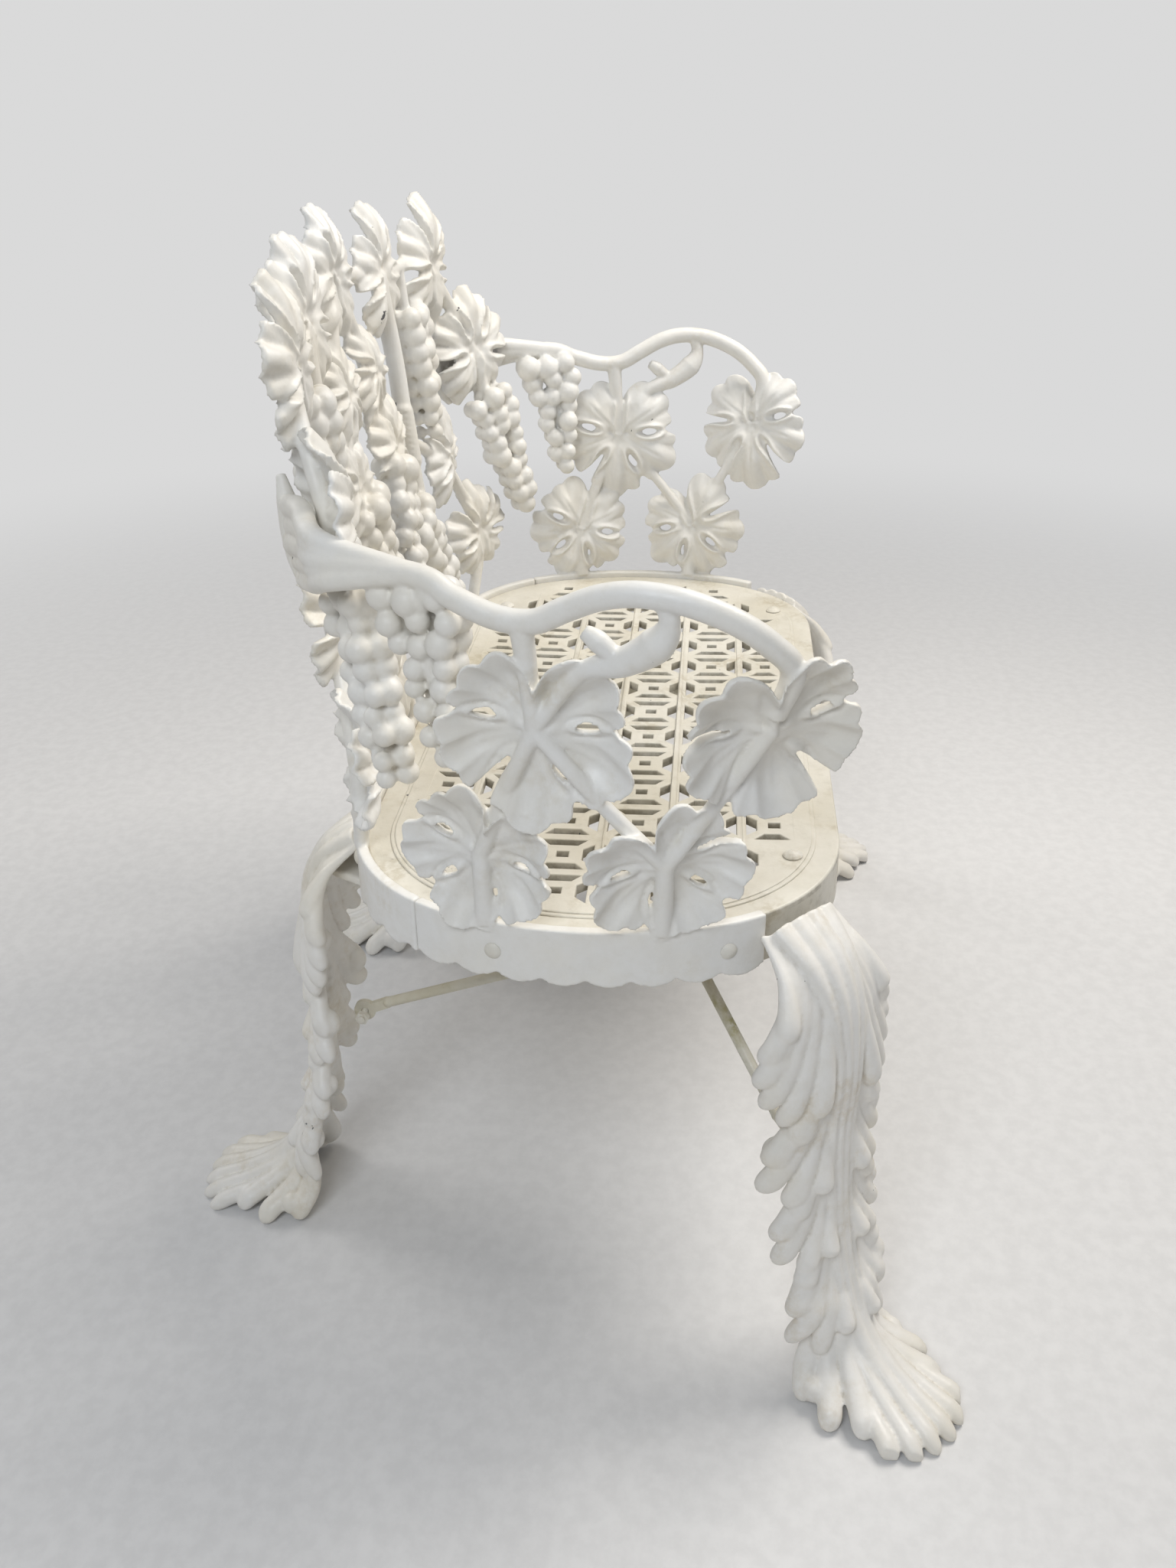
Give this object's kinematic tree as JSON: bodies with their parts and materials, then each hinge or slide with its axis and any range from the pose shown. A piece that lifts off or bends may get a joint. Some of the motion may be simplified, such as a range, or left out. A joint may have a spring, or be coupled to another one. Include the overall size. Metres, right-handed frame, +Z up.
{
  "type": "cast iron garden bench",
  "caption": "White-painted cast iron garden bench with a pierced star-pattern seat, openwork back and arms of vine leaves, stems and grapes, and splayed leaf-form legs",
  "frame": {"origin": "On the floor under the middle of the bench's bounding box", "axes": "+X to the sitter's left along the seat, +Y from the front of the seat to the back panel, +Z up"},
  "size_m": [1.0084, 0.7078, 0.886],
  "materials": {
    "seat_paint": "worn satin cream enamel, grimy in the holes",
    "panel_paint": "aged off-white enamel with dirt in the hollows and small chips",
    "leg_paint": "aged off-white enamel, browner at the feet and in the hollow backs",
    "brace_paint": "stained cream enamel over a round iron rod",
    "hardware_paint": "painted over with the castings, worn at the edges"
  },
  "bodies": {
    "root": {"seat_grille": "seat_paint", "back_panel": "panel_paint", "left_arm": "panel_paint", "right_arm": "panel_paint", "left_front_leg": "leg_paint", "right_front_leg": "leg_paint", "left_rear_leg": "leg_paint", "right_rear_leg": "leg_paint", "left_side_brace": "brace_paint", "right_side_brace": "brace_paint", "left_front_brace": "brace_paint", "right_front_brace": "brace_paint", "leg_bolts": "hardware_paint", "leg_washers": "hardware_paint", "leg_nuts": "hardware_paint", "arm_bolts": "hardware_paint", "arm_washers": "hardware_paint", "arm_nuts": "hardware_paint", "back_bolts": "hardware_paint", "back_washers": "hardware_paint", "back_nuts": "hardware_paint", "brace_lug_bolts": "hardware_paint", "brace_lug_nuts": "hardware_paint", "brace_hub_bolts": "hardware_paint", "tab_screws": "hardware_paint"}
  },
  "joints": []
}
